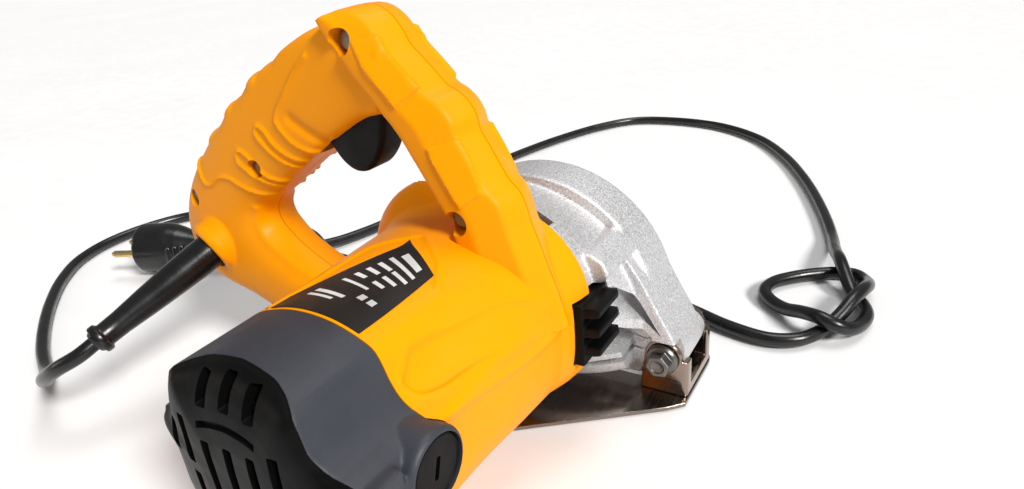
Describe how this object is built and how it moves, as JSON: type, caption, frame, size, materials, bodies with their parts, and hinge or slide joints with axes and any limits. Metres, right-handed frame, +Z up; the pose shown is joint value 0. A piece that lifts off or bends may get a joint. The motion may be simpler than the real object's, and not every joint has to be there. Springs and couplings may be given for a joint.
{
  "type": "stone cutter",
  "caption": "Corded hand-held stone and wall cutter with a crosswise motor, closed loop handle, cast blade guard and tilting steel base plate.",
  "frame": {"origin": "underside of the base plate, below the middle of the motor", "axes": "+X is the cutting direction, +Y runs along the motor axis from its rear cover to the blade side, +Z is up"},
  "size_m": [0.5232, 0.5884, 0.178],
  "materials": {
    "yellow_plastic": "satin moulded plastic",
    "dark_plastic": "fine moulded texture",
    "black_plastic": "satin",
    "black_rubber": "satin",
    "cast_aluminium": "shot-blasted casting",
    "bright_steel": "ground or zinc plated",
    "dark_steel": "plain machined",
    "brass": "satin",
    "copper": "varnished copper wire",
    "carbon": "pressed carbon",
    "label_film": "printed film"
  },
  "bodies": {
    "tool_body": {"motor_housing": "yellow_plastic", "handle_cover": "yellow_plastic", "rear_cover": "dark_plastic", "brush_cap_front": "black_plastic", "brush_cap_rear": "black_plastic", "side_vent": "black_plastic", "low_vent": "black_plastic", "switch_body": "black_plastic", "cable_clamp": "black_plastic", "strain_relief": "black_rubber", "power_cord": "black_rubber", "plug_body": "black_rubber", "gear_housing": "cast_aluminium", "bearing_cover": "cast_aluminium", "brush_spring_front": "bright_steel", "brush_spring_rear": "bright_steel", "rear_motor_bearing": "bright_steel", "front_motor_bearing": "bright_steel", "spindle_needle_bearing": "bright_steel", "spindle_ball_bearing": "bright_steel", "trigger_spring": "bright_steel", "rear_cover_screw_1": "dark_steel", "rear_cover_screw_2": "dark_steel", "stator_core": "dark_steel", "bearing_cover_screw_1": "dark_steel", "bearing_cover_screw_2": "dark_steel", "bearing_cover_screw_3": "dark_steel", "depth_lock_bolt": "dark_steel", "handle_screw_1": "dark_steel", "handle_screw_2": "dark_steel", "handle_screw_3": "dark_steel", "handle_screw_4": "dark_steel", "brush_holder_front": "brass", "brush_holder_rear": "brass", "plug_pin_left": "brass", "plug_pin_right": "brass", "field_coil_upper": "copper", "field_coil_lower": "copper", "carbon_brush_front": "carbon", "carbon_brush_rear": "carbon", "rating_label": "label_film"},
    "base": {"base_plate": "bright_steel", "front_bracket": "bright_steel", "depth_arm": "bright_steel", "pivot_bolt": "dark_steel", "pivot_nut": "dark_steel"},
    "wing_nut": {"depth_lock_wing_nut": "black_plastic"},
    "trigger": {"trigger": "black_plastic"},
    "lock_button": {"lock_button": "black_plastic"},
    "rotor": {"armature_shaft": "bright_steel", "wound_armature": "copper", "commutator": "copper", "cooling_fan": "black_plastic", "drive_pinion": "dark_steel"},
    "blade_spindle": {"spindle": "bright_steel", "driven_gear": "dark_steel", "inner_flange": "dark_steel", "outer_flange": "dark_steel", "blade_bolt": "bright_steel"}
  },
  "joints": [
    {"name": "base_tilt", "type": "hinge", "parent": "tool_body", "child": "base", "pos_m": [0.0662, 0.049, 0.0203], "axis": [0, 1, 0], "range_deg": [-13, 6]},
    {"name": "wing_nut_turn", "type": "hinge", "parent": "tool_body", "child": "wing_nut", "pos_m": [-0.07, 0.027, 0.044], "axis": [0, 1, 0], "range_deg": [0, 180]},
    {"name": "trigger_press", "type": "hinge", "parent": "tool_body", "child": "trigger", "pos_m": [-0.028, -0.017, 0.15], "axis": [0, 1, 0], "range_deg": [0, 6], "stiffness_Nm_per_rad": 1.5, "springref_deg": -5.73, "deforming": ["trigger_spring"]},
    {"name": "lock_button_press", "type": "slide", "parent": "tool_body", "child": "lock_button", "axis": [0, -1, 0], "range_m": [0, 0.0022], "stiffness_N_per_m": 600, "springref_m": -0.002},
    {"name": "rotor_spin", "type": "hinge", "parent": "tool_body", "child": "rotor", "pos_m": [-0.003, -0.04, 0.0575], "axis": [0, 1, 0], "continuous": true},
    {"name": "spindle_spin", "type": "hinge", "parent": "tool_body", "child": "blade_spindle", "pos_m": [0.002, 0.025, 0.0371], "axis": [0, 1, 0], "continuous": true}
  ],
  "couplings": [
    {"joint": "spindle_spin", "follows": "rotor_spin", "ratio": -0.3125}
  ]
}
